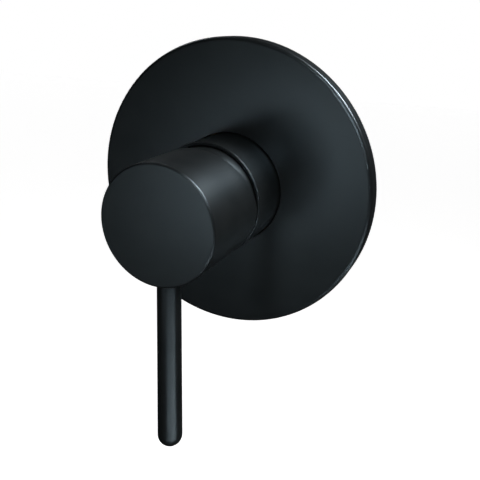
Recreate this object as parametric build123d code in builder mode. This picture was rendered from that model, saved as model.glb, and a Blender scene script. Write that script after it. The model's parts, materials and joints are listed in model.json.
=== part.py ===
"""Concealed bath mixer: wall plate, sleeve, tilting handle with a pin lever, cartridge and in-wall body.

Frame: the origin is where the mixer's axis meets the finished wall, +Z is up and the front faces -Y.
A station is a distance forward of the finished wall along the axis, so a point at station s has y = -s.
All lengths are in millimetres, all angles in degrees.
"""

import os
from math import cos, radians, sin, sqrt, tan

from build123d import *

# Handle motion
LIFT_MAX = 20.0
TURN_MAX = 50.0
PIVOT_STATION = 30.0
BALL_ARM = 14.0

# Clearances, radial or between faces
FIT = 0.05
SLIP = 0.15
FILM = 0.05
REST_GAP = 0.2
LOOSE_GAP = 0.5
DOME_GAP = 0.35
SLOT = 0.7

# Cartridge
HOUSING_R = 17.5
HOUSING_WALL = 2.2
HOUSING_TOP = 2.3
COLLAR_LENGTH = 4.0
COLLAR_WALL = 2.25
GUIDE_STEP = 6.0
GUIDE_NOSE = 6.0
GUIDE_FLANGE = 1.5
LUG_WIDTH = 8.0
GUIDE_SLOT_CORNER = 0.5
STOP_THICK = 2.6
STOP_LUG_HALF_ANGLE = 8.0
STOP_SLACK = 1.0
CARRIER_GAP = 0.45
CARRIER_THICK = 7.0
CARRIER_FLAT_CUT = 1.7
SOCKET_DEPTH = 6.0
MOVING_DISC_STEP = 0.5
MOVING_DISC_THICK = 3.5
FIXED_DISC_THICK = 4.0
CHAMBER_WIDTH = 16.0
CHAMBER_HEIGHT = 9.0
CHAMBER_DEPTH = 1.8
CHAMBER_CORNER = 3.0
BASE_PLUG = 3.0
BASE_FLANGE = 2.0
PEG_R = 1.4
PEG_LENGTH = 2.5
PEG_INSET = 4.5
INLET_PORT_R = 2.8
INLET_PORT_X = 6.5
INLET_PORT_Z = -4.5
MIXED_PORT_R = 3.2
MIXED_PORT_Z = 6.5
PORT_SEAL_WIRE = 0.75

# Lever stem
STEM_WIDTH = 8.0
STEM_EYE_HEIGHT = 10.0
STEM_EYE_LENGTH = 10.0
STEM_ARM_R = 2.0
BALL_R = 3.2
PIVOT_PIN_R = 1.5

# Handle and pin lever
HANDLE_STEP = 0.5
HANDLE_LENGTH = 36.85
HANDLE_LIP = 0.8
HANDLE_EDGE = 0.8
REAR_EDGE = 0.3
HANDLE_FRONT_WALL = 4.0
REAR_CUT_ANGLE = 22.0
INSERT_WALL = 1.5
PIN_SET = 9.0
PIN_ROOT_R = 4.4
PIN_END_R = 4.85
PIN_REACH = 92.5
PIN_SEAT_DEPTH = 0.8
SPIGOT_R = 3.0
SPIGOT_LENGTH = 9.0
GRUB_R = 2.5
GRUB_LENGTH = 5.5
GRUB_SOCKET_ACROSS = 2.5
GRUB_SOCKET_DEPTH = 2.5

# Dome, sleeve and nut
DOME_WALL = 1.5
DOME_MOUTH_R = 12.5
NUT_THREAD_LENGTH = 3.0
NUT_BOSS_LENGTH = 3.0
NUT_SLOT_WIDTH = 3.0
NUT_SLOT_DEPTH = 1.6
SLEEVE_WALL = 2.2
SLEEVE_TAIL = 6.0
SLEEVE_EDGE = 0.4

# Wall plate
PLATE_R = 60.0
PLATE_THICK = 8.0
PLATE_WALL = 2.5
PLATE_EDGE = 1.6
PLATE_BORE_GAP = 0.6
PLATE_BOSS_WALL = 4.0
PLATE_STANDOFF = 0.5
GASKET_WIDTH = 10.0
SEAL_WIRE = 0.87

# In-wall body
NECK_WALL = 2.5
FLOOR_THICK = 6.8
CORE_STEP = 1.5
CAST_ROUND = 1.5
INLET_SET = 19.0
PORT_STEP = 13.0
BACK_SET = 16.0
ARM_R = 13.5
ARM_REACH = 42.0
ARM_CHAMFER = 1.0
WATERWAY_R = 5.5
THREAD_R = 9.3
THREAD_DEPTH = 15.0
LUG_R = 6.0
LUG_THICK = 5.0
LUG_CIRCLE_R = 32.0
LUG_HOLE_R = 2.75
PLUG_THREAD_LENGTH = 12.0
PLUG_FLANGE_R = 12.6
PLUG_FLANGE_THICK = 3.0
PLUG_SOCKET_ACROSS = 8.0
PLUG_SOCKET_DEPTH = 7.0
WASHER_THICK = 1.5

# Stations that follow, from the pivot back to the wall
sleeve_front = PIVOT_STATION - SLOT / 2
handle_rear = PIVOT_STATION + SLOT / 2
handle_front = handle_rear + HANDLE_LENGTH
ball_station = PIVOT_STATION - BALL_ARM
carrier_front = ball_station + BALL_R - SLOT
carrier_rear = carrier_front - CARRIER_THICK
moving_rear = carrier_rear - MOVING_DISC_THICK
fixed_front = moving_rear - FILM
fixed_rear = fixed_front - FIXED_DISC_THICK
housing_rear = fixed_rear - BASE_PLUG
base_rear = housing_rear - BASE_FLANGE
floor_station = base_rear - REST_GAP
flange_rear = carrier_front + LOOSE_GAP
flange_front = flange_rear + GUIDE_FLANGE
housing_top_rear = flange_front + REST_GAP
housing_top_front = housing_top_rear + HOUSING_TOP
collar_front = housing_top_front + COLLAR_LENGTH
neck_front = housing_top_front + NUT_THREAD_LENGTH
boss_front = neck_front + NUT_BOSS_LENGTH
stop_rear = collar_front + REST_GAP
guide_front = PIVOT_STATION + GUIDE_NOSE
core_front = floor_station - FLOOR_THICK
inlet_station = core_front - INLET_SET
outlet_station = inlet_station - PORT_STEP
body_back = outlet_station - BACK_SET

# Radii that follow, from the cartridge outwards
housing_bore = HOUSING_R - HOUSING_WALL
guide_r = HOUSING_R - GUIDE_STEP
guide_bore = guide_r + FIT
collar_r = guide_bore + COLLAR_WALL
nut_bore = collar_r + REST_GAP
cavity_r = HOUSING_R + REST_GAP
neck_r = cavity_r + NECK_WALL
sleeve_bore = neck_r + 2 * FIT
sleeve_r = sleeve_bore + SLEEVE_WALL
core_r = sleeve_r + CORE_STEP
plate_bore = sleeve_r + PLATE_BORE_GAP
handle_r = sleeve_r - HANDLE_STEP
hollow_r = handle_r - HANDLE_LIP
dome_r = hollow_r - DOME_GAP
dome_bore = dome_r - DOME_WALL
sleeve_mouth_r = dome_r + DOME_GAP

# Places that follow
disc_z = BALL_ARM * sin(radians(LIFT_MAX)) / 2
carrier_r = housing_bore - disc_z - CARRIER_GAP
carrier_flat = carrier_r - CARRIER_FLAT_CUT
peg_x = HOUSING_R - PEG_INSET
cavity_floor = PIVOT_STATION + hollow_r
stem_front = handle_front - HANDLE_FRONT_WALL
pin_station = handle_front - PIN_SET
pin_seat_z = -(handle_r - PIN_SEAT_DEPTH)
spigot_top_z = pin_seat_z + SPIGOT_LENGTH
insert_half = STEM_WIDTH / 2 + FIT + INSERT_WALL
socket_half = insert_half + FIT
grub_top_z = -(STEM_WIDTH / 2 + FIT)
inlet_ports = [(-INLET_PORT_X, INLET_PORT_Z), (INLET_PORT_X, INLET_PORT_Z)]
mixed_port = (0, MIXED_PORT_Z)
ports = [(place, INLET_PORT_R) for place in inlet_ports] + [(mixed_port, MIXED_PORT_R)]


def facing(station):
    """Plane across the axis at a station: its normal points to the front, its y direction is up."""
    return Plane.XZ.offset(station)


def across(x, station, z):
    """Plane with its normal along +X, its x direction to the back and its y direction up."""
    return Plane(origin=(x, -station, z), x_dir=(0, 1, 0), z_dir=(1, 0, 0))


def level(station, z):
    """Horizontal plane at height z, centred on the axis at a station."""
    return Plane(origin=(0, -station, z), z_dir=(0, 0, 1))


def turned(corners, mode=Mode.ADD):
    """Turn a half-section, given as (radius, station) corners, about the mixer's axis."""
    with BuildSketch(Plane.XY, mode=Mode.PRIVATE) as section:
        with BuildLine():
            Polyline(*[(radius, -station) for radius, station in corners], close=True)
        make_face()
    revolve(section.sketch, axis=Axis.Y, mode=mode)


def bored(radius, rear, front, place=(0, 0)):
    """Cut a round hole along the axis direction from one station to another."""
    with BuildSketch(facing(rear), mode=Mode.PRIVATE) as mouth:
        with Locations(place):
            Circle(radius)
    extrude(mouth.sketch, amount=front - rear, mode=Mode.SUBTRACT)


def grooved(bottom_r, mouth_r, station, width):
    """Cut a ring-shaped groove, centred on a station, between its bottom and its mouth."""
    rear, front = station - width / 2, station + width / 2
    turned([(bottom_r, rear), (mouth_r, rear), (mouth_r, front), (bottom_r, front)], mode=Mode.SUBTRACT)


def seal_ring(wire, centre_r, station, place=(0, 0)):
    """Rubber ring of round section about a line parallel to the mixer's axis."""
    x, z = place
    with BuildSketch(Plane(origin=(x, 0, z), z_dir=(0, 0, 1)), mode=Mode.PRIVATE) as section:
        with Locations((centre_r, -station)):
            Circle(wire)
    revolve(section.sketch, axis=Axis((x, 0, z), (0, 1, 0)))


def keep(solid, name):
    """Name a finished piece and write it to its own file."""
    solid.label = name
    export_step(solid, f"parts/{name}.step")


os.makedirs("parts", exist_ok=True)

# Valve body: core and neck about the axis, two inlets across, two outlets up and down
seal_groove = 2 * SEAL_WIRE + 2 * SLIP
neck_seal_station = floor_station - FLOOR_THICK / 2
neck_seal_r = sleeve_bore - FIT / 2 - SEAL_WIRE
with BuildPart() as valve_body:
    turned([(0, body_back), (core_r, body_back), (core_r, core_front), (neck_r, core_front),
            (neck_r, neck_front), (0, neck_front)])
    for side in (1, -1):
        with BuildSketch(across(0, inlet_station, 0)):
            Circle(ARM_R)
        extrude(amount=side * ARM_REACH)
        with BuildSketch(level(outlet_station, 0)):
            Circle(ARM_R)
        extrude(amount=side * ARM_REACH)
    fillet(valve_body.edges().filter_by(GeomType.BSPLINE), radius=CAST_ROUND)
    arm_ends = valve_body.faces().filter_by(
        lambda face: abs(max(abs(face.center().X), abs(face.center().Z)) - ARM_REACH) < FIT)
    chamfer(arm_ends.edges(), length=ARM_CHAMFER)
    with BuildSketch(facing(body_back)):
        with PolarLocations(LUG_CIRCLE_R - LUG_R, 4, start_angle=45):
            SlotCenterToCenter(2 * LUG_R, 2 * LUG_R)
    extrude(amount=LUG_THICK)
    with BuildSketch(facing(body_back)):
        with PolarLocations(LUG_CIRCLE_R, 4, start_angle=45):
            Circle(LUG_HOLE_R)
    extrude(amount=LUG_THICK, mode=Mode.SUBTRACT)
    bored(cavity_r, floor_station, neck_front)
    grooved(neck_seal_r - SEAL_WIRE - FIT, neck_r, neck_seal_station, seal_groove)
    for place in inlet_ports:
        bored(INLET_PORT_R, inlet_station, floor_station, place)
    bored(MIXED_PORT_R, outlet_station, floor_station, mixed_port)
    for side in (1, -1):
        bored(PEG_R + SLIP, floor_station - PEG_LENGTH, floor_station, (side * peg_x, 0))
        with BuildSketch(across(side * (INLET_PORT_X - INLET_PORT_R / 2), inlet_station, 0)):
            Circle(WATERWAY_R)
        extrude(amount=side * ARM_REACH, mode=Mode.SUBTRACT)
        with BuildSketch(across(side * ARM_REACH, inlet_station, 0)):
            Circle(THREAD_R)
        extrude(amount=-side * THREAD_DEPTH, mode=Mode.SUBTRACT)
        with BuildSketch(level(outlet_station, side * ARM_REACH)):
            Circle(THREAD_R)
        extrude(amount=-side * THREAD_DEPTH, mode=Mode.SUBTRACT)
    with BuildSketch(level(outlet_station, 0)):
        Circle(WATERWAY_R)
    extrude(amount=ARM_REACH, both=True, mode=Mode.SUBTRACT)
keep(valve_body.part, "valve_body")

# Plug that closes the upper outlet, with its washer
washer_top = ARM_REACH + WASHER_THICK
plug_top = washer_top + PLUG_FLANGE_THICK
with BuildPart() as plug_washer:
    with BuildSketch(level(outlet_station, ARM_REACH)):
        Circle(PLUG_FLANGE_R)
        Circle(THREAD_R + SLIP, mode=Mode.SUBTRACT)
    extrude(amount=WASHER_THICK)
keep(plug_washer.part, "plug_washer")

with BuildPart() as outlet_plug:
    with BuildSketch(level(outlet_station, washer_top)):
        Circle(PLUG_FLANGE_R)
    extrude(amount=PLUG_FLANGE_THICK)
    chamfer(outlet_plug.edges().group_by(Axis.Z)[-1], length=PLUG_FLANGE_THICK / 5)
    with BuildSketch(level(outlet_station, washer_top)):
        Circle(THREAD_R - FIT)
    extrude(amount=-PLUG_THREAD_LENGTH)
    with BuildSketch(level(outlet_station, plug_top)):
        RegularPolygon(PLUG_SOCKET_ACROSS / 2, 6, major_radius=False)
    extrude(amount=-PLUG_SOCKET_DEPTH, mode=Mode.SUBTRACT)
keep(outlet_plug.part, "outlet_plug")

# Cartridge base: flange on the cavity floor, plug inside the housing, pegs into the floor
port_seal_room = PORT_SEAL_WIRE * 2 - REST_GAP
with BuildPart() as cartridge_base:
    turned([(0, base_rear), (HOUSING_R, base_rear), (HOUSING_R, housing_rear),
            (housing_bore - FIT, housing_rear), (housing_bore - FIT, fixed_rear), (0, fixed_rear)])
    for side in (1, -1):
        with BuildSketch(facing(base_rear)):
            with Locations((side * peg_x, 0)):
                Circle(PEG_R)
        extrude(amount=-PEG_LENGTH)
    for place, port_r in ports:
        bored(port_r, base_rear, fixed_rear, place)
        bored(port_r + 2 * PORT_SEAL_WIRE + SLIP, base_rear, base_rear + port_seal_room, place)
        bored(port_r + 2 * PORT_SEAL_WIRE + SLIP, fixed_rear - 2 * PORT_SEAL_WIRE - FIT, fixed_rear, place)
keep(cartridge_base.part, "cartridge_base")

with BuildPart() as base_seals:
    for place, port_r in ports:
        seal_ring(PORT_SEAL_WIRE - FIT / 2, port_r + PORT_SEAL_WIRE, floor_station + PORT_SEAL_WIRE, place)
keep(base_seals.part, "base_seals")

with BuildPart() as disc_seals:
    for place, port_r in ports:
        seal_ring(PORT_SEAL_WIRE, port_r + PORT_SEAL_WIRE, fixed_rear - PORT_SEAL_WIRE - FIT / 2, place)
keep(disc_seals.part, "disc_seals")

# Fixed ceramic disc with the three ports
with BuildPart() as fixed_disc:
    turned([(0, fixed_rear), (housing_bore - SLIP, fixed_rear),
            (housing_bore - SLIP, fixed_front), (0, fixed_front)])
    for place, port_r in ports:
        bored(port_r, fixed_rear, fixed_front, place)
keep(fixed_disc.part, "fixed_disc")

# Moving ceramic disc: its mixing chamber joins the ports when the lever is lifted
with BuildPart() as moving_disc:
    with BuildSketch(facing(moving_rear)):
        with Locations((0, disc_z)):
            Circle(carrier_r - MOVING_DISC_STEP)
    extrude(amount=MOVING_DISC_THICK)
    with BuildSketch(facing(moving_rear)):
        with Locations((0, CHAMBER_HEIGHT / 2 + SLOT / 2)):
            RectangleRounded(CHAMBER_WIDTH, CHAMBER_HEIGHT, CHAMBER_CORNER)
    extrude(amount=CHAMBER_DEPTH, mode=Mode.SUBTRACT)
keep(moving_disc.part, "moving_disc")

# Disc carrier: slides between the guide's lugs, driven by the stem's ball in its socket
with BuildPart() as disc_carrier:
    with BuildSketch(facing(carrier_rear)):
        with Locations((0, disc_z)):
            Circle(carrier_r)
        Rectangle(2 * carrier_flat, 4 * carrier_r, mode=Mode.INTERSECT)
    extrude(amount=CARRIER_THICK)
    bored(BALL_R + SLIP, carrier_front - SOCKET_DEPTH, carrier_front)
keep(disc_carrier.part, "disc_carrier")

# Cartridge housing: open at the rear, with a collar that guides the stem guide and holds its stops
seal_seat = (housing_top_rear + fixed_front) / 2
housing_seal_r = cavity_r - FIT / 2 - SEAL_WIRE
stop_slot_r = guide_bore + COLLAR_WALL / 2
stop_lug_rear = collar_front - COLLAR_LENGTH / 2
stop_slot_half = TURN_MAX + STOP_LUG_HALF_ANGLE + STOP_SLACK
with BuildPart() as cartridge_housing:
    turned([(housing_bore, housing_rear), (HOUSING_R, housing_rear), (HOUSING_R, housing_top_front),
            (collar_r, housing_top_front), (collar_r, collar_front), (guide_bore, collar_front),
            (guide_bore, housing_top_rear), (housing_bore, housing_top_rear)])
    grooved(housing_seal_r - SEAL_WIRE - FIT, HOUSING_R, seal_seat, seal_groove)
    with BuildSketch(facing(stop_lug_rear - REST_GAP)):
        with BuildLine():
            outer_arc = CenterArc((0, 0), stop_slot_r + SLIP, 90 - stop_slot_half, 2 * stop_slot_half)
            Line(outer_arc @ 1, (0, 0))
            Line((0, 0), outer_arc @ 0)
        make_face()
    extrude(amount=collar_front - stop_lug_rear + REST_GAP, mode=Mode.SUBTRACT)
keep(cartridge_housing.part, "cartridge_housing")

with BuildPart() as housing_o_ring:
    seal_ring(SEAL_WIRE, housing_seal_r, seal_seat)
keep(housing_o_ring.part, "housing_o_ring")

# Stem guide: turns in the housing, carries the pivot pin and drives the disc carrier
guide_seal_wire = COLLAR_WALL / 4
guide_seal_station = (housing_top_rear + housing_top_front) / 2
guide_seal_r = guide_bore - FIT / 2 - guide_seal_wire
guide_seal_groove = 2 * guide_seal_wire + SLIP
lift = radians(LIFT_MAX)
stem_swing = max(STEM_WIDTH / 2 / cos(lift) + GUIDE_NOSE * tan(lift),
                 STEM_ARM_R / cos(lift) + (PIVOT_STATION - flange_front) * tan(lift),
                 STEM_EYE_HEIGHT / 2 * cos(lift) + STEM_EYE_LENGTH / 2 * sin(lift))
ball_swing = BALL_ARM * sin(lift) + BALL_R
guide_slots = [(flange_rear, flange_front, ball_swing), (flange_front, guide_front, stem_swing)]
lug_inner = carrier_flat + SLIP
lug_outer = sqrt((housing_bore - 2 * SLIP) ** 2 - (LUG_WIDTH / 2) ** 2)
with BuildPart() as stem_guide:
    turned([(0, flange_rear), (housing_bore - 2 * SLIP, flange_rear),
            (housing_bore - 2 * SLIP, flange_front), (guide_r, flange_front),
            (guide_r, guide_front), (0, guide_front)])
    for side in (1, -1):
        with BuildSketch(facing(carrier_rear + REST_GAP)):
            with Locations((side * (lug_inner + lug_outer) / 2, 0)):
                Rectangle(lug_outer - lug_inner, LUG_WIDTH)
        extrude(amount=flange_front - carrier_rear - REST_GAP)
    for rear, front, swing in guide_slots:
        slot_height = 2 * (swing + REST_GAP + GUIDE_SLOT_CORNER)
        with BuildSketch(facing(rear)):
            RectangleRounded(STEM_WIDTH + 2 * SLIP, slot_height, GUIDE_SLOT_CORNER)
        extrude(amount=front - rear, mode=Mode.SUBTRACT)
    grooved(guide_seal_r - guide_seal_wire - FIT, guide_r, guide_seal_station, guide_seal_groove)
    with BuildSketch(across(0, PIVOT_STATION, 0)):
        Circle(PIVOT_PIN_R + FIT / 2)
    extrude(amount=guide_r, both=True, mode=Mode.SUBTRACT)
keep(stem_guide.part, "stem_guide")

with BuildPart() as guide_o_ring:
    seal_ring(guide_seal_wire, guide_seal_r, guide_seal_station)
keep(guide_o_ring.part, "guide_o_ring")

with BuildPart() as pivot_pin:
    with BuildSketch(across(0, PIVOT_STATION, 0)):
        Circle(PIVOT_PIN_R)
    extrude(amount=guide_r - REST_GAP, both=True)
    chamfer(pivot_pin.edges(), length=PIVOT_PIN_R / 6)
keep(pivot_pin.part, "pivot_pin")

# Temperature stop: ring on the guide whose lug swings between the ends of the collar's slot
with BuildPart() as temperature_stop:
    turned([(guide_bore, stop_rear), (nut_bore - LOOSE_GAP, stop_rear),
            (nut_bore - LOOSE_GAP, stop_rear + STOP_THICK), (guide_bore, stop_rear + STOP_THICK)])
    with BuildSketch(facing(stop_lug_rear)):
        with BuildLine():
            lug_arc = CenterArc((0, 0), stop_slot_r - SLIP,
                                90 - STOP_LUG_HALF_ANGLE, 2 * STOP_LUG_HALF_ANGLE)
            Line(lug_arc @ 1, (0, 0))
            Line((0, 0), lug_arc @ 0)
        make_face()
        Circle(guide_bore, mode=Mode.SUBTRACT)
    extrude(amount=stop_rear - stop_lug_rear)
keep(temperature_stop.part, "temperature_stop")

# Retaining nut: screwed into the neck, with a slotted boss for the dome
dome_skirt_rear = neck_front + REST_GAP
with BuildPart() as retaining_nut:
    turned([(nut_bore, housing_top_front), (cavity_r - FIT, housing_top_front),
            (cavity_r - FIT, dome_skirt_rear), (dome_bore - FIT, dome_skirt_rear),
            (dome_bore - FIT, boss_front), (nut_bore, boss_front)])
    with BuildSketch(facing(boss_front)):
        with PolarLocations((nut_bore + dome_bore) / 2, 6):
            Rectangle(2 * (dome_bore - nut_bore), NUT_SLOT_WIDTH)
    extrude(amount=-NUT_SLOT_DEPTH, mode=Mode.SUBTRACT)
keep(retaining_nut.part, "retaining_nut")

# Dome: spherical cover about the pivot, on a short skirt that presses over the nut's boss
mouth_outer = sqrt(dome_r ** 2 - DOME_MOUTH_R ** 2)
mouth_inner = sqrt(dome_bore ** 2 - DOME_MOUTH_R ** 2)
arc_middle = radians(22.5)
with BuildPart() as dome_shroud:
    with BuildSketch(Plane.XY):
        with BuildLine():
            Line((dome_r, -dome_skirt_rear), (dome_r, -PIVOT_STATION))
            ThreePointArc((dome_r, -PIVOT_STATION),
                          (dome_r * cos(arc_middle), -PIVOT_STATION - dome_r * sin(arc_middle)),
                          (DOME_MOUTH_R, -PIVOT_STATION - mouth_outer))
            Line((DOME_MOUTH_R, -PIVOT_STATION - mouth_outer), (DOME_MOUTH_R, -PIVOT_STATION - mouth_inner))
            ThreePointArc((DOME_MOUTH_R, -PIVOT_STATION - mouth_inner),
                          (dome_bore * cos(arc_middle), -PIVOT_STATION - dome_bore * sin(arc_middle)),
                          (dome_bore, -PIVOT_STATION))
            Line((dome_bore, -PIVOT_STATION), (dome_bore, -dome_skirt_rear))
            Line((dome_bore, -dome_skirt_rear), (dome_r, -dome_skirt_rear))
        make_face()
    revolve(axis=Axis.Y)
keep(dome_shroud.part, "dome_shroud")

# Sleeve: covers the neck from inside the wall to the slot, bored wider at its front for the dome
sleeve_mouth_rear = dome_skirt_rear - LOOSE_GAP
with BuildPart() as sleeve:
    turned([(sleeve_bore, -SLEEVE_TAIL), (sleeve_r, -SLEEVE_TAIL),
            (sleeve_r, sleeve_front), (sleeve_mouth_r, sleeve_front),
            (sleeve_mouth_r, sleeve_mouth_rear), (sleeve_bore, sleeve_mouth_rear)])
    front_rims = sleeve.edges().filter_by(GeomType.CIRCLE).group_by(Axis.Y)[0]
    fillet(front_rims, radius=SLEEVE_EDGE)
keep(sleeve.part, "sleeve")

with BuildPart() as sleeve_o_ring:
    seal_ring(SEAL_WIRE, neck_seal_r, neck_seal_station)
keep(sleeve_o_ring.part, "sleeve_o_ring")

# Wall plate: a shallow dish with a boss round the sleeve
plate_seal_r = sleeve_r + FIT / 2 + SEAL_WIRE
plate_seal_station = PLATE_THICK / 2
boss_r = plate_bore + PLATE_BOSS_WALL
gasket_front = PLATE_THICK - PLATE_WALL
gasket_r = PLATE_R - PLATE_WALL - REST_GAP
with BuildPart() as wall_plate:
    turned([(plate_bore, PLATE_STANDOFF), (boss_r, PLATE_STANDOFF), (boss_r, gasket_front),
            (PLATE_R - PLATE_WALL, gasket_front), (PLATE_R - PLATE_WALL, PLATE_STANDOFF),
            (PLATE_R, PLATE_STANDOFF), (PLATE_R, PLATE_THICK), (plate_bore, PLATE_THICK)])
    front_edges = wall_plate.edges().filter_by(GeomType.CIRCLE).group_by(Axis.Y)[0].sort_by(SortBy.RADIUS)
    fillet(front_edges[-1], radius=PLATE_EDGE)
    grooved(plate_bore, plate_seal_r + SEAL_WIRE + FIT, plate_seal_station, seal_groove)
keep(wall_plate.part, "wall_plate")

with BuildPart() as plate_o_ring:
    seal_ring(SEAL_WIRE, plate_seal_r, plate_seal_station)
keep(plate_o_ring.part, "plate_o_ring")

with BuildPart() as plate_gasket:
    turned([(gasket_r - GASKET_WIDTH, 0), (gasket_r, 0),
            (gasket_r, gasket_front), (gasket_r - GASKET_WIDTH, gasket_front)])
keep(plate_gasket.part, "plate_gasket")

# Lever stem: square front, eye at the pivot, arm and ball at the rear
eye_rear = PIVOT_STATION - STEM_EYE_LENGTH / 2
with BuildPart() as lever_stem:
    with BuildSketch(facing(eye_rear)):
        Rectangle(STEM_WIDTH, STEM_EYE_HEIGHT)
    extrude(amount=STEM_EYE_LENGTH)
    with BuildSketch(facing(PIVOT_STATION)):
        Rectangle(STEM_WIDTH, STEM_WIDTH)
    extrude(amount=stem_front - PIVOT_STATION - REST_GAP)
    with BuildSketch(facing(ball_station)):
        Circle(STEM_ARM_R)
    extrude(amount=PIVOT_STATION - ball_station)
    with Locations((0, -ball_station, 0)):
        Sphere(BALL_R)
    with BuildSketch(across(0, PIVOT_STATION, 0)):
        Circle(PIVOT_PIN_R + FIT)
    extrude(amount=STEM_WIDTH, both=True, mode=Mode.SUBTRACT)
keep(lever_stem.part, "lever_stem")

# Handle insert: plastic sleeve between the square stem and the handle's socket
with BuildPart() as stem_insert:
    with BuildSketch(facing(cavity_floor)):
        Rectangle(2 * insert_half, 2 * insert_half)
        Rectangle(STEM_WIDTH + 2 * FIT, STEM_WIDTH + 2 * FIT, mode=Mode.SUBTRACT)
    extrude(amount=stem_front - cavity_floor - FIT)
    with BuildSketch(level(pin_station, 0)):
        Circle(GRUB_R + SLIP)
    extrude(amount=-2 * insert_half, mode=Mode.SUBTRACT)
keep(stem_insert.part, "stem_insert")

# Handle body: drum hollowed as a ball about the pivot, its upper rear cut back so that it can tilt
cut_reach = 2 * handle_r
socket_rear = PIVOT_STATION + sqrt(hollow_r ** 2 - 2 * socket_half ** 2)
with BuildPart() as handle_body:
    with BuildSketch(facing(handle_rear)):
        Circle(handle_r)
    extrude(amount=HANDLE_LENGTH)
    with BuildSketch(Plane.YZ):
        with BuildLine():
            Polyline((-handle_rear, 0), (-handle_rear + cut_reach, 0), (-handle_rear + cut_reach, cut_reach),
                     (-handle_rear - cut_reach * tan(radians(REAR_CUT_ANGLE)), cut_reach), close=True)
        make_face()
    extrude(amount=cut_reach, both=True, mode=Mode.SUBTRACT)
    front_rim = handle_body.edges().group_by(Axis.Y)[0]
    rear_rim = handle_body.edges().filter_by(GeomType.LINE, reverse=True) - front_rim
    fillet(front_rim, radius=HANDLE_EDGE)
    fillet(rear_rim, radius=REAR_EDGE)
    with Locations((0, -PIVOT_STATION, 0)):
        Sphere(hollow_r, mode=Mode.SUBTRACT)
    with BuildSketch(facing(socket_rear)):
        Rectangle(2 * socket_half, 2 * socket_half)
    extrude(amount=stem_front - socket_rear, mode=Mode.SUBTRACT)
    with BuildSketch(level(pin_station, 0)):
        Circle(GRUB_R + FIT)
    extrude(amount=spigot_top_z, mode=Mode.SUBTRACT)
    with BuildSketch(level(pin_station, spigot_top_z + REST_GAP)):
        Circle(SPIGOT_R + FIT)
    extrude(amount=-cut_reach, mode=Mode.SUBTRACT)
    with BuildSketch(level(pin_station, pin_seat_z)):
        Circle(PIN_ROOT_R + SLIP)
    extrude(amount=-cut_reach, mode=Mode.SUBTRACT)
keep(handle_body.part, "handle_body")

# Grub screw: clamps the stem from the bottom of the lever's threaded hole
with BuildPart() as grub_screw:
    with BuildSketch(level(pin_station, grub_top_z)):
        Circle(GRUB_R)
    extrude(amount=-GRUB_LENGTH)
    with BuildSketch(level(pin_station, grub_top_z - GRUB_LENGTH)):
        RegularPolygon(GRUB_SOCKET_ACROSS / 2, 6, major_radius=False)
    extrude(amount=GRUB_SOCKET_DEPTH, mode=Mode.SUBTRACT)
keep(grub_screw.part, "grub_screw")

# Pin lever: slim rod, a little thicker towards its rounded end, on a threaded spigot
end_centre_z = -(PIN_REACH - PIN_END_R)
with BuildPart() as pin_lever:
    with BuildSketch(Plane(origin=(0, -pin_station, 0), x_dir=(1, 0, 0), z_dir=(0, -1, 0))):
        with BuildLine():
            Polyline((0, spigot_top_z), (SPIGOT_R, spigot_top_z), (SPIGOT_R, pin_seat_z),
                     (PIN_ROOT_R, pin_seat_z), (PIN_END_R, end_centre_z))
            RadiusArc((PIN_END_R, end_centre_z), (0, -PIN_REACH), PIN_END_R)
            Line((0, -PIN_REACH), (0, spigot_top_z))
        make_face()
    revolve(axis=Axis((0, -pin_station, 0), (0, 0, 1)))
keep(pin_lever.part, "pin_lever")
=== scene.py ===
# %% [markdown]
# # A concealed bath mixer in satin black
#
# The mixer is a round wall plate, a sleeve, a drum handle with a pin lever, and a brass body
# behind the wall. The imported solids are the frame: they already have their real size and place,
# so this lesson only adds surfaces and finishes. Lengths are in metres. The front faces -Y and
# +Z is up, so a point in front of the wall has a negative y.

# %% Load the frame
import json
import math

import bpy
import numpy as np
from mathutils import Matrix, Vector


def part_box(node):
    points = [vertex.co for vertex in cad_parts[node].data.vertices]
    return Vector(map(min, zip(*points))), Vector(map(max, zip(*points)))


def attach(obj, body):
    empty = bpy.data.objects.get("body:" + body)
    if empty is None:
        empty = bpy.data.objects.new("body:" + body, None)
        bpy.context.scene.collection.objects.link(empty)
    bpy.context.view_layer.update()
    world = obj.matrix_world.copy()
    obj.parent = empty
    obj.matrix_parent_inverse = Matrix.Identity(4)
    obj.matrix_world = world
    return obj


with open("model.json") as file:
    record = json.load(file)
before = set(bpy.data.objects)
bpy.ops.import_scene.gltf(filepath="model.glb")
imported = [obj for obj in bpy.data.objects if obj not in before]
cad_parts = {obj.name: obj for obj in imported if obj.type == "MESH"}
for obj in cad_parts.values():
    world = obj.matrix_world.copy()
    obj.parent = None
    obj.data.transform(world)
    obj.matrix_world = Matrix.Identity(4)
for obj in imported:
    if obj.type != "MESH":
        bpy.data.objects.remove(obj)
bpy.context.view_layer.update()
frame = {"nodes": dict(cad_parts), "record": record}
nodes = frame["nodes"]

# %% [markdown]
# ## Camera
#
# The camera was fitted to the mixer's outline in the photograph and to the rim of the handle's
# face. It stands close, to the right and a little above, so the near handle looks large against
# the plate. A lens of about 48 mm on a 36 mm sensor gives that perspective. The aim moves the
# middle of the picture down from the mixer's axis, and no shift is used.

# %% Camera
PLATE_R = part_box("wall_plate")[1].x
AZIMUTH, ELEVATION, ROLL = np.radians([22.63, 19.38, 1.85])
DISTANCE = 4.563 * PLATE_R
AIM_RIGHT, AIM_UP = 0.0295 * PLATE_R, -0.399 * PLATE_R
FOCAL_PIXELS, IMAGE_PIXELS, SENSOR_MM = 643.75, 480, 36.0
NEAR_CLIP = 0.01


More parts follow.
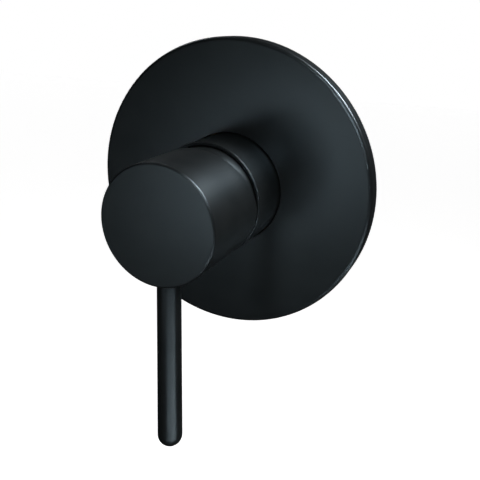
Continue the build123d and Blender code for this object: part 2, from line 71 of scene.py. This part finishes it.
def camera_axes():
    """Right, up and back directions of a camera at the azimuth and elevation, rolled about back."""
    back = np.array([math.sin(AZIMUTH) * math.cos(ELEVATION),
                     -math.cos(AZIMUTH) * math.cos(ELEVATION), math.sin(ELEVATION)])
    level = np.array([math.cos(AZIMUTH), math.sin(AZIMUTH), 0.0])
    rise = np.cross(back, level)
    right = math.cos(ROLL) * level + math.sin(ROLL) * rise
    up = math.cos(ROLL) * rise - math.sin(ROLL) * level
    return right, up, back


def place_along(thing, x_way, y_way, z_way, position):
    """Put a camera or lamp at a position with its own x, y and z along three directions."""
    placed = np.eye(4)
    placed[:3, :4] = np.column_stack([x_way, y_way, z_way, position])
    thing.matrix_world = Matrix(placed.tolist())


right, up, back = camera_axes()
eye = right * AIM_RIGHT + up * AIM_UP + back * DISTANCE
camera = bpy.data.objects.new("camera", bpy.data.cameras.new("camera"))
bpy.context.scene.collection.objects.link(camera)
camera.data.sensor_width = SENSOR_MM
camera.data.lens = FOCAL_PIXELS / IMAGE_PIXELS * SENSOR_MM
camera.data.clip_start = NEAR_CLIP
place_along(camera, right, up, back, eye)
bpy.context.scene.camera = camera
print("camera at", np.round(eye, 3).tolist(), "lens", round(camera.data.lens, 1), "mm")

# %% [markdown]
# ## Node helpers
#
# A finish is a small network of nodes. These helpers keep the networks readable: one adds a node
# and fills its inputs with numbers, colours or other nodes' outputs, one starts a group whose
# named sockets several finishes share, and one starts a material. The rest are single steps that
# nearly every network takes.

# %% Node helpers
FLOAT, VECTOR = "NodeSocketFloat", "NodeSocketVector"


def add_node(tree, kind, inputs=None, **settings):
    """Add a node, set its options, and fill its inputs with values or links."""
    made = tree.nodes.new(kind)
    for option, value in settings.items():
        setattr(made, option, value)
    for socket, value in (inputs or {}).items():
        if isinstance(value, bpy.types.NodeSocket):
            tree.links.new(value, made.inputs[socket])
        else:
            made.inputs[socket].default_value = value
    return made


def new_group(name, inputs, outputs):
    """Start a shader group with named sockets; returns its tree, its input node and its output node."""
    tree = bpy.data.node_groups.new(name, "ShaderNodeTree")
    for direction, sockets in (("INPUT", inputs), ("OUTPUT", outputs)):
        for socket, kind in sockets.items():
            tree.interface.new_socket(socket, in_out=direction, socket_type=kind)
    return tree, tree.nodes.new("NodeGroupInput"), tree.nodes.new("NodeGroupOutput")


def new_finish(name):
    """Start a material; returns it with its tree, its Principled shader and its Object coordinates."""
    material = bpy.data.materials.new(name)
    material.use_nodes = True
    tree = material.node_tree
    place = tree.nodes.new("ShaderNodeTexCoord").outputs["Object"]
    return material, tree, tree.nodes["Principled BSDF"], place


def blend(tree, factor, first, second):
    """Mix two colours by a factor; returns the mixed colour."""
    mixed = add_node(tree, "ShaderNodeMix", {"Factor": factor, "A": first, "B": second}, data_type="RGBA")
    return mixed.outputs["Result"]


def spread(tree, value, low, high):
    """Stretch a value from 0..1 to low..high."""
    stretched = add_node(tree, "ShaderNodeMapRange", {"Value": value, "To Min": low, "To Max": high})
    return stretched.outputs["Result"]


def math_node(tree, operation, *values):
    """One arithmetic step; returns its result."""
    return add_node(tree, "ShaderNodeMath", dict(enumerate(values)), operation=operation).outputs[0]


def dress(material, *names):
    """Give a finish to CAD nodes."""
    for name in names:
        nodes[name].material_slots[0].material = material
    print(material.name, "on", ", ".join(names))


print("helpers ready")

# %% [markdown]
# ## Fine grain
#
# Sprayed and moulded skins show a grain of a fraction of a millimetre up close, and broad soft
# patches where the gloss drifts. Both are noise in Object coordinates, so the grain has a real
# size and stays with the piece when the handle moves. The group gives a height for the bump and
# a patch value that finishes use for colour and roughness.

# %% Fine grain


def fine_grain_group():
    """Height = fine noise; Patches = broad noise stretched to the full range."""
    tree, start, end = new_group("fine_grain", {"Place": VECTOR, "Grains per metre": FLOAT,
                                                "Patches per metre": FLOAT},
                                 {"Height": FLOAT, "Patches": FLOAT})
    fine = add_node(tree, "ShaderNodeTexNoise",
                    {"Vector": start.outputs["Place"], "Scale": start.outputs["Grains per metre"],
                     "Detail": 3.0, "Roughness": 0.6})
    broad = add_node(tree, "ShaderNodeTexNoise",
                     {"Vector": start.outputs["Place"], "Scale": start.outputs["Patches per metre"],
                      "Detail": 4.0, "Roughness": 0.55})
    full = add_node(tree, "ShaderNodeMapRange",
                    {"Value": broad.outputs["Fac"], "From Min": 0.35, "From Max": 0.65})
    tree.links.new(fine.outputs["Fac"], end.inputs["Height"])
    tree.links.new(full.outputs["Result"], end.inputs["Patches"])
    return tree


fine_grain = fine_grain_group()
print("fine_grain gives", [socket.name for socket in fine_grain.interface.items_tree])

# %% [markdown]
# ## Cast skin
#
# A sand casting has a lumpy skin with small round pits where grains of sand sat. Noise gives the
# lumps, and the distance to scattered cell centres gives the pits, which are cut into the height
# and also darken, because scale and dirt stay in them.

# %% Cast skin
PIT_DEPTH = 0.35


def cast_skin_group():
    """Height = lumps - depth x pits, where pits fall from 1 at a cell's centre to 0 at 0.3 of its size."""
    tree, start, end = new_group("cast_skin", {"Place": VECTOR, "Lumps per metre": FLOAT},
                                 {"Height": FLOAT, "Pits": FLOAT})
    field = {"Vector": start.outputs["Place"], "Scale": start.outputs["Lumps per metre"]}
    lumps = add_node(tree, "ShaderNodeTexNoise", {**field, "Detail": 5.0, "Roughness": 0.65})
    cells = add_node(tree, "ShaderNodeTexVoronoi", field)
    pits = add_node(tree, "ShaderNodeMapRange",
                    {"Value": cells.outputs["Distance"], "From Min": 0.05, "From Max": 0.3,
                     "To Min": 1.0, "To Max": 0.0}).outputs["Result"]
    height = math_node(tree, "MULTIPLY_ADD", pits, -PIT_DEPTH, lumps.outputs["Fac"])
    tree.links.new(height, end.inputs["Height"])
    tree.links.new(pits, end.inputs["Pits"])
    return tree


cast_skin = cast_skin_group()
print("cast_skin gives", [socket.name for socket in cast_skin.interface.items_tree])

# %% [markdown]
# ## Turned lines
#
# A lathe tool leaves one fine line for every turn of the work: rings on a face, a close screw
# line on a cylinder. Adding the distance from the axis to the distance along it makes both with
# one formula. A little noise in the phase keeps the lines from looking printed.

# %% Turned lines
SHAKES_PER_METRE = 900.0


def turned_lines_group():
    """Height = sin(2 pi (n (distance from the axis + distance along it) + noise)), n lines a metre."""
    tree, start, end = new_group("turned_lines", {"Place": VECTOR, "Axis": VECTOR, "Lines per metre": FLOAT},
                                 {"Height": FLOAT})
    place, axis = start.outputs["Place"], start.outputs["Axis"]
    along = add_node(tree, "ShaderNodeVectorMath", {0: place, 1: axis}, operation="DOT_PRODUCT")
    foot = add_node(tree, "ShaderNodeVectorMath", {0: axis, "Scale": along.outputs["Value"]},
                    operation="SCALE")
    off = add_node(tree, "ShaderNodeVectorMath", {0: place, 1: foot.outputs["Vector"]}, operation="DISTANCE")
    way = math_node(tree, "ADD", along.outputs["Value"], off.outputs["Value"])
    shake = add_node(tree, "ShaderNodeTexNoise", {"Vector": place, "Scale": SHAKES_PER_METRE})
    phase = math_node(tree, "MULTIPLY_ADD", way, start.outputs["Lines per metre"], shake.outputs["Fac"])
    wave = math_node(tree, "SINE", math_node(tree, "MULTIPLY", phase, 2 * math.pi))
    tree.links.new(wave, end.inputs["Height"])
    return tree


turned_lines = turned_lines_group()
print("turned_lines gives", [socket.name for socket in turned_lines.interface.items_tree])

# %% [markdown]
# ## Sprayed and moulded skins
#
# Coat, rubber, foam, plastic and ceramic differ in colour, gloss and grain, but each is a skin
# with a fine grain and slow patches. One recipe makes them all: patches move the colour between
# two close tones and the roughness by a few hundredths, and the grain bends the normal. Turned
# metal uses the same last step with a height of its own.

# %% Recipe for a skin
BUMP_STRENGTH = 0.25


def drive_shader(tree, shader, drift, tones, roughness, height, depth):
    """Drift mixes two tones and moves the roughness; height bends the normal, with a depth in metres."""
    dark, light = ((*tone, 1) for tone in tones)
    bump = add_node(tree, "ShaderNodeBump", {"Height": height, "Strength": BUMP_STRENGTH, "Distance": depth})
    tree.links.new(blend(tree, drift, dark, light), shader.inputs["Base Color"])
    tree.links.new(spread(tree, drift, *roughness), shader.inputs["Roughness"])
    tree.links.new(bump.outputs["Normal"], shader.inputs["Normal"])


def skin(name, tones, roughness, grains, patches, depth):
    """Finish with two tones, a range of roughness, and a grain and patches counted by the metre."""
    material, tree, shader, place = new_finish(name)
    grain = add_node(tree, "ShaderNodeGroup", {"Place": place, "Grains per metre": grains,
                                               "Patches per metre": patches}, node_tree=fine_grain)
    drive_shader(tree, shader, grain.outputs["Patches"], tones, roughness, grain.outputs["Height"], depth)
    return material, shader


print("skin recipe ready")

# %% [markdown]
# ## Satin black coat
#
# Plate, sleeve, dome, handle and lever carry one sprayed coat: nearly black, with a soft sheen
# that turns slightly blue-green where light glances off. That comes from the tint of the
# reflection, not from the colour under it, so it stays out of the dark parts.

# %% Satin black coat
COAT_REFLECTION, COAT_TINT = 0.8, (0.66, 0.87, 1.0, 1)
coat, coat_shader = skin("satin_black", tones=[(0.0078, 0.0090, 0.0094), (0.0102, 0.0114, 0.0118)],
                         roughness=(0.30, 0.32), grains=3200.0, patches=90.0, depth=0.00005)
coat_shader.inputs["Specular IOR Level"].default_value = COAT_REFLECTION
coat_shader.inputs["Specular Tint"].default_value = COAT_TINT
dress(coat, "wall_plate", "sleeve", "dome_shroud", "handle_body", "pin_lever")

# %% [markdown]
# ## Plastic
#
# The cartridge is moulded plastic: white outside, dark grey where pieces slide, and a red stop
# ring so that a fitter finds it. Moulds leave one fine, even grain on all three. Nearly all of
# this is hidden, but it shows when pieces are taken apart.

# %% Plastic
MOULDED = {"grains": 2600.0, "patches": 120.0, "depth": 0.00004}
white_plastic, _ = skin("white_plastic", tones=[(0.58, 0.58, 0.55), (0.66, 0.66, 0.63)],
                        roughness=(0.38, 0.48), **MOULDED)
grey_plastic, _ = skin("grey_plastic", tones=[(0.030, 0.034, 0.040), (0.044, 0.050, 0.056)],
                       roughness=(0.40, 0.50), **MOULDED)
red_plastic, _ = skin("red_plastic", tones=[(0.30, 0.012, 0.008), (0.38, 0.020, 0.012)],
                      roughness=(0.36, 0.46), **MOULDED)
dress(white_plastic, "cartridge_base", "cartridge_housing")
dress(grey_plastic, "disc_carrier", "stem_guide", "stem_insert")
dress(red_plastic, "temperature_stop")

# %% [markdown]
# ## Rubber, foam and ceramic
#
# Black rubber rings seal the cartridge, the sleeve and the plate. The gasket behind the plate is
# closed-cell foam, so its grain is coarse and deep. The two discs that shut the water off are
# lapped ceramic, the smoothest surface in the mixer.

# %% Rubber, foam and ceramic
rubber, _ = skin("rubber", tones=[(0.010, 0.010, 0.010), (0.020, 0.020, 0.019)],
                 roughness=(0.55, 0.70), grains=4000.0, patches=200.0, depth=0.00003)
foam, _ = skin("gasket_foam", tones=[(0.22, 0.22, 0.21), (0.32, 0.32, 0.30)],
               roughness=(0.80, 0.95), grains=1400.0, patches=300.0, depth=0.0003)
ceramic, _ = skin("ceramic", tones=[(0.72, 0.71, 0.67), (0.80, 0.79, 0.76)],
                  roughness=(0.12, 0.18), grains=5000.0, patches=150.0, depth=0.00001)
dress(rubber, "plug_washer", "base_seals", "disc_seals", "housing_o_ring", "guide_o_ring",
      "sleeve_o_ring", "plate_o_ring")
dress(foam, "plate_gasket")
dress(ceramic, "fixed_disc", "moving_disc")

# %% [markdown]
# ## Turned metal
#
# Plug, nut, stem, pivot pin and grub screw come from a lathe: bright metal with fine lines round
# the axis they were turned about. The lines bend the normal, and slow patches dull the metal where
# it has been handled. Each finish gets its own axis, as a point and a direction.

# %% Turned metal
METAL_GRAIN = {"Grains per metre": 3000.0, "Patches per metre": 160.0}
LINE_DEPTH = 0.00002
BRASS = {"tones": [(0.54, 0.37, 0.15), (0.64, 0.45, 0.20)], "roughness": (0.20, 0.30), "lines": 3500.0}
STEEL = [(0.50, 0.50, 0.49), (0.60, 0.60, 0.59)]
DRAWN_STEEL = {"tones": STEEL, "roughness": (0.18, 0.26), "lines": 5000.0}
CUT_STEEL = {"tones": STEEL, "roughness": (0.26, 0.36), "lines": 4000.0}
ALONG_X, ALONG_Y, ALONG_Z = (1, 0, 0), (0, 1, 0), (0, 0, 1)


def turned_metal(name, through, axis, tones, roughness, lines):
    """Bare metal with lines, counted by the metre, round an axis through a point."""
    material, tree, shader, place = new_finish(name)
    moved = add_node(tree, "ShaderNodeVectorMath", {0: place, 1: through}, operation="SUBTRACT")
    cut = add_node(tree, "ShaderNodeGroup", {"Place": moved.outputs["Vector"], "Axis": axis,
                                             "Lines per metre": lines}, node_tree=turned_lines)
    grain = add_node(tree, "ShaderNodeGroup", {"Place": place, **METAL_GRAIN}, node_tree=fine_grain)
    drive_shader(tree, shader, grain.outputs["Patches"], tones, roughness, cut.outputs["Height"], LINE_DEPTH)
    shader.inputs["Metallic"].default_value = 1.0
    return material


def middle(name):
    """Centre of a node's box, a point on the axis of a turned piece."""
    low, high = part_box(name)
    return tuple((low + high) / 2)


dress(turned_metal("plug_brass", middle("outlet_plug"), ALONG_Z, **BRASS), "outlet_plug")
dress(turned_metal("nut_brass", (0, 0, 0), ALONG_Y, **BRASS), "retaining_nut", "lever_stem")
dress(turned_metal("pin_steel", middle("pivot_pin"), ALONG_X, **DRAWN_STEEL), "pivot_pin")
dress(turned_metal("screw_steel", middle("grub_screw"), ALONG_Z, **CUT_STEEL), "grub_screw")

# %% [markdown]
# ## Machined ends of the body
#
# The in-wall body is a brass casting. Only where a pipe, the cartridge or the wall frame meets it
# is it machined bright: the ends of its arms, the threaded ports, the neck and the back. Those
# places are plain ranges of x, y and z, so a mask made of a few comparisons finds them, and the
# cast skin is left everywhere else.

# %% Where the body is machined
END_CUT, BACK_CUT, PORT_MARGIN = 0.0011, 0.0001, 0.0012
_, body_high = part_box("valve_body")
ports = {mount["name"]: mount for mount in frame["record"]["mounts"] if mount["kind"] == "threaded_hole"}
ARM_END = body_high.z - END_CUT
NECK_Y, BACK_Y = 0.0079, body_high.y - BACK_CUT
INLET_Y, OUTLET_Y = ports["hot_inlet"]["pos_m"][1], ports["bath_outlet"]["pos_m"][1]
PORT_START, PORT_R = 0.02, ports["hot_inlet"]["dims"]["r_mm"] / 1000 + PORT_MARGIN


def machined_mask(tree, place):
    """1 on arm ends, neck, back face and in the ports; 0 on the cast skin."""
    split = add_node(tree, "ShaderNodeSeparateXYZ", {"Vector": place})
    x, y, z = (split.outputs[letter] for letter in "XYZ")
    side, rise = math_node(tree, "ABSOLUTE", x), math_node(tree, "ABSOLUTE", z)
    found = [math_node(tree, "GREATER_THAN", math_node(tree, "MAXIMUM", side, rise), ARM_END),
             math_node(tree, "LESS_THAN", y, NECK_Y), math_node(tree, "GREATER_THAN", y, BACK_Y)]
    for reach, other, level in ((side, z, INLET_Y), (rise, x, OUTLET_Y)):
        off = math_node(tree, "SUBTRACT", y, level)
        square = math_node(tree, "MULTIPLY_ADD", off, off, math_node(tree, "MULTIPLY", other, other))
        inside = math_node(tree, "LESS_THAN", square, PORT_R ** 2)
        found.append(math_node(tree, "MULTIPLY", inside, math_node(tree, "GREATER_THAN", reach, PORT_START)))
    mask = found[0]
    for more in found[1:]:
        mask = math_node(tree, "MAXIMUM", mask, more)
    return mask


print("arm ends beyond", round(ARM_END, 4), "neck before", NECK_Y, "ports within", round(PORT_R, 4))

# %% [markdown]
# ## Cast brass
#
# Under the mask the brass is bright and nearly smooth. Elsewhere it is dull and darker, with the
# lumps and pits of the mould. One material holds both, so that the border between them is sharp
# and follows the cuts, as on a real body.

# %% Cast brass
CAST_TONE, PIT_TONE, CUT_TONE = (0.34, 0.22, 0.09, 1), (0.14, 0.09, 0.04, 1), (0.62, 0.43, 0.18, 1)
CAST_ROUGHNESS, CUT_ROUGHNESS = (0.46, 0.60), (0.20, 0.28)
BODY_GRAIN = {"Grains per metre": 3000.0, "Patches per metre": 110.0}
LUMPS, CAST_STRENGTH, CAST_DEPTH, CUT_SHARE = 700.0, 0.5, 0.0004, 0.04


def cast_brass():
    """Brass casting: lumpy and dull, bright and smooth under the mask."""
    material, tree, shader, place = new_finish("cast_brass")
    cast = add_node(tree, "ShaderNodeGroup", {"Place": place, "Lumps per metre": LUMPS}, node_tree=cast_skin)
    grain = add_node(tree, "ShaderNodeGroup", {"Place": place, **BODY_GRAIN}, node_tree=fine_grain)
    mask = machined_mask(tree, place)
    pitted = blend(tree, cast.outputs["Pits"], CAST_TONE, PIT_TONE)
    tree.links.new(blend(tree, mask, pitted, CUT_TONE), shader.inputs["Base Color"])
    dull = spread(tree, grain.outputs["Patches"], *CAST_ROUGHNESS)
    bright = spread(tree, grain.outputs["Patches"], *CUT_ROUGHNESS)
    rough = add_node(tree, "ShaderNodeMix", {"Factor": mask, "A": dull, "B": bright})
    tree.links.new(rough.outputs["Result"], shader.inputs["Roughness"])
    height = math_node(tree, "MULTIPLY", cast.outputs["Height"], spread(tree, mask, 1.0, CUT_SHARE))
    bump = add_node(tree, "ShaderNodeBump", {"Height": height, "Strength": CAST_STRENGTH,
                                             "Distance": CAST_DEPTH})
    tree.links.new(bump.outputs["Normal"], shader.inputs["Normal"])
    shader.inputs["Metallic"].default_value = 1.0
    return material


body_brass = cast_brass()
dress(body_brass, "valve_body")

# %% [markdown]
# ## Port threads
#
# The solids keep the half-inch ports as plain bores, so the thread is added here as a surface: a
# ridge that winds along the bore's wall with fourteen turns to the inch. A real tap cuts the
# thread into the wall; a ridge that stands a third of a millimetre inside it looks the same and
# leaves the solid alone. It thins out at both ends, as a cut thread does.

# %% Port threads
PITCH, STAND, SINK, RINGS_A_TURN = 0.0254 / 14, 0.00035, 0.00005, 72
FOOT_SHARE, CREST_SHARE = 0.42, 0.10
PLAIN_TURNS, THIN_END = 1.5, 0.02


def add_mesh(name, points, faces, material):
    """Make an object of points and faces with one material, at the origin."""
    mesh = bpy.data.meshes.new(name)
    mesh.from_pydata(points, [], faces)
    mesh.materials.append(material)
    made = bpy.data.objects.new(name, mesh)
    bpy.context.scene.collection.objects.link(made)
    return made


def thread_ridge(name, centre, outward, wall_r, length):
    """Ridge round a bore: point(t, k) = centre + (wall_r - g(t) stand_k) radial(t)
    + (pitch (t / 2 pi - turns / 2) + g(t) half_k) outward, where t is the turned angle, k runs round
    the four corners of the section, and g is 1 but falls nearly to 0 over half a turn at each end."""
    outward = np.array(outward, float)
    first = np.cross(outward, [0.0, 1.0, 0.0])
    second = np.cross(outward, first)
    turns = length / PITCH - PLAIN_TURNS
    t = np.linspace(0, 2 * np.pi * turns, int(RINGS_A_TURN * turns))
    grow = np.clip(np.minimum(t, t[-1] - t) / np.pi, THIN_END, 1.0)[:, None]
    half = np.array([FOOT_SHARE, CREST_SHARE, -CREST_SHARE, -FOOT_SHARE]) * PITCH
    stand = np.array([-SINK, STAND, STAND, -SINK])
    radial = np.cos(t)[:, None] * first + np.sin(t)[:, None] * second
    along = (t / (2 * np.pi) - turns / 2)[:, None] * PITCH + grow * half
    inward = (wall_r - grow * stand)[..., None] * radial[:, None]
    points = np.array(centre) + inward + along[..., None] * outward
    ring, corner = np.meshgrid(np.arange(len(t) - 1), np.arange(4), indexing="ij")
    here, after = ring * 4 + corner, ring * 4 + (corner + 1) % 4
    walls = np.stack([here, here + 4, after + 4, after], -1).reshape(-1, 4)
    last = 4 * (len(t) - 1)
    faces = np.vstack([walls, [[0, 1, 2, 3]], [[last + 3, last + 2, last + 1, last]]])
    return add_mesh(name, points.reshape(-1, 3), faces, body_brass)


for name, mount in ports.items():
    dims = mount["dims"]
    ridge = thread_ridge(name + "_thread", mount["pos_m"], mount["axis"], dims["r_mm"] / 1000,
                         dims["length_mm"] / 1000)
    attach(ridge, "fixed")
    print(ridge.name, len(ridge.data.polygons), "faces")

# %% [markdown]
# ## Floor
#
# The photograph is a cut-out on white. A pale floor lies well below the mixer: to the camera and
# in reflections it glows a little under white, and the rest of its brightness is light that falls
# on it, so the mixer's soft shadow stays.

# %% Floor
FLOOR_Z, FLOOR_REACH = -0.45, 4.0
FLOOR_GLOW, FLOOR_TONE, FLOOR_ROUGHNESS = 0.87, (0.8, 0.8, 0.8, 1), 0.9
WHITE, BLACK = (1, 1, 1, 1), (0, 0, 0, 1)


def flat_card(name, low, high, material):
    """Flat rectangle between two corners that are level in one direction, for the floor and the cards; not
    one of the mixer's pieces.
    """
    low, high = np.array(low, float), np.array(high, float)
    level = int(np.argmin(high - low))
    first, second = [axis for axis in range(3) if axis != level]
    corners = np.repeat(low[None], 4, 0)
    corners[[1, 2], first] = high[first]
    corners[[2, 3], second] = high[second]
    card = add_mesh(name, corners.tolist(), [[0, 1, 2, 3]], material)
    return card


def seen_rays(tree):
    """1 for camera, glossy and transmission rays, 0 for the rays that light surfaces."""
    rays = tree.nodes.new("ShaderNodeLightPath").outputs
    seen = math_node(tree, "MAXIMUM", rays["Is Camera Ray"], rays["Is Glossy Ray"])
    return math_node(tree, "MAXIMUM", seen, rays["Is Transmission Ray"])


def pale_floor():
    """Matt pale grey that glows for the rays that see it and only takes light from the others."""
    material, tree, shader, _ = new_finish("pale_floor")
    tree.links.new(spread(tree, seen_rays(tree), 0.0, FLOOR_GLOW), shader.inputs["Emission Strength"])
    shader.inputs["Emission Color"].default_value = WHITE
    shader.inputs["Base Color"].default_value = FLOOR_TONE
    shader.inputs["Roughness"].default_value = FLOOR_ROUGHNESS
    return material


flat_card("floor", (-FLOOR_REACH, -FLOOR_REACH, FLOOR_Z), (FLOOR_REACH, FLOOR_REACH, FLOOR_Z), pale_floor())
print("floor at", FLOOR_Z)

# %% [markdown]
# ## Lamps
#
# The light was worked out from the photograph by lighting the mixer with many single lamps and
# finding which of them add up to its grey levels. A soft lamp to the right, behind and above,
# draws the bright band along drum and sleeve. Two low ones on the right light the pin, one in
# front opens the plate, and two small ones are mirrored in the handle's face. A weak lamp on the
# left keeps the shape readable from that side.

# %% Lamps
MIDDLE = (0.0, -0.04, -0.01)
LAMPS = {"right_rim_lamp": {"position": (0.335, 0.215, 0.41), "size": 0.26, "watts": 4.9},
         "left_rim_lamp": {"position": (-0.33, 0.24, 0.40), "size": 0.28, "watts": 0.3},
         "near_face_lamp": {"position": (-0.04, -0.32, -0.035), "size": 0.10, "watts": 0.04},
         "far_face_lamp": {"position": (-0.30, -0.80, -0.17), "size": 0.14, "watts": 0.15},
         "low_right_lamp": {"position": (0.38, -0.24, -0.42), "size": 0.32, "watts": 0.64},
         "low_front_lamp": {"position": (0.17, -0.43, -0.42), "size": 0.34, "watts": 0.50},
         "front_lamp": {"position": (0.26, -0.49, 0.30), "size": 0.30, "watts": 1.2}}


def soft_lamp(name, position, size, watts):
    """Square area lamp that points from its position to the middle of the mixer."""
    lamp = bpy.data.lights.new(name, "AREA")
    lamp.shape, lamp.size, lamp.energy = "SQUARE", size, watts
    lamp.cycles.use_multiple_importance_sampling = False
    holder = bpy.data.objects.new(name, lamp)
    bpy.context.scene.collection.objects.link(holder)
    away = np.array(position, float) - np.array(MIDDLE, float)
    away /= np.linalg.norm(away)
    side = np.cross([0, 0, 1], away)
    side /= np.linalg.norm(side)
    place_along(holder, side, np.cross(away, side), away, position)
    holder.visible_camera = False


for name, settings in LAMPS.items():
    soft_lamp(name, **settings)

# %% [markdown]
# ## World
#
# The world is white to the camera, in reflections and through glass, and dim to everything else,
# so the background is white without more light on the mixer. The Standard view transform shows
# that white as full white.

# %% World
WORLD_DIM = 0.08


def white_world():
    """White to the camera, to reflections and through glass; a dim grey to everything else."""
    world = bpy.data.worlds.new("white_world")
    bpy.context.scene.world = world
    world.use_nodes = True
    tree = world.node_tree
    backdrop = tree.nodes["Background"]
    tree.links.new(spread(tree, seen_rays(tree), WORLD_DIM, 1.0), backdrop.inputs["Strength"])
    backdrop.inputs["Color"].default_value = WHITE


white_world()
bpy.context.scene.view_settings.view_transform = "Standard"
print("world lights surfaces with", WORLD_DIM)

# %% [markdown]
# ## Black cards
#
# A glossy black object in a white room would look grey, so a photographer stands black cards
# round it, out of sight. Here the cards are seen by reflections only. The card in the wall's
# plane is black towards the front and white behind, so the brass body still shows the white room.

# %% Black cards
LEFT, RIGHT, FRONT, WALL, LOW, TOP = -0.5, 0.8, -1.0, 0.004, -0.44, 1.0


def card_finish(name, white_behind):
    """Black card; its back may be white instead."""
    material, tree, shader, _ = new_finish(name)
    shader.inputs["Base Color"].default_value = BLACK
    shader.inputs["Specular IOR Level"].default_value = 0.0
    shader.inputs["Emission Color"].default_value = WHITE
    if white_behind:
        behind = add_node(tree, "ShaderNodeNewGeometry").outputs["Backfacing"]
        tree.links.new(behind, shader.inputs["Emission Strength"])
    return material


plain_card, wall_card = card_finish("black_card", False), card_finish("wall_card", True)
cards = [flat_card("wall_card", (LEFT, WALL, LOW), (RIGHT, WALL, TOP), wall_card),
         flat_card("left_card", (LEFT, FRONT, LOW), (LEFT, WALL, TOP), plain_card),
         flat_card("right_card", (RIGHT, FRONT, LOW), (RIGHT, WALL, TOP), plain_card),
         flat_card("top_card", (LEFT, FRONT, TOP), (RIGHT, WALL, TOP), plain_card),
         flat_card("low_card", (LEFT, FRONT, LOW), (RIGHT, WALL, LOW), plain_card),
         flat_card("front_card", (LEFT, FRONT, LOW), (RIGHT, FRONT, TOP), plain_card)]
for card in cards:
    card.visible_camera = False
    card.visible_diffuse = False
    card.visible_shadow = False
    card.visible_transmission = False
print("cards:", len(cards))
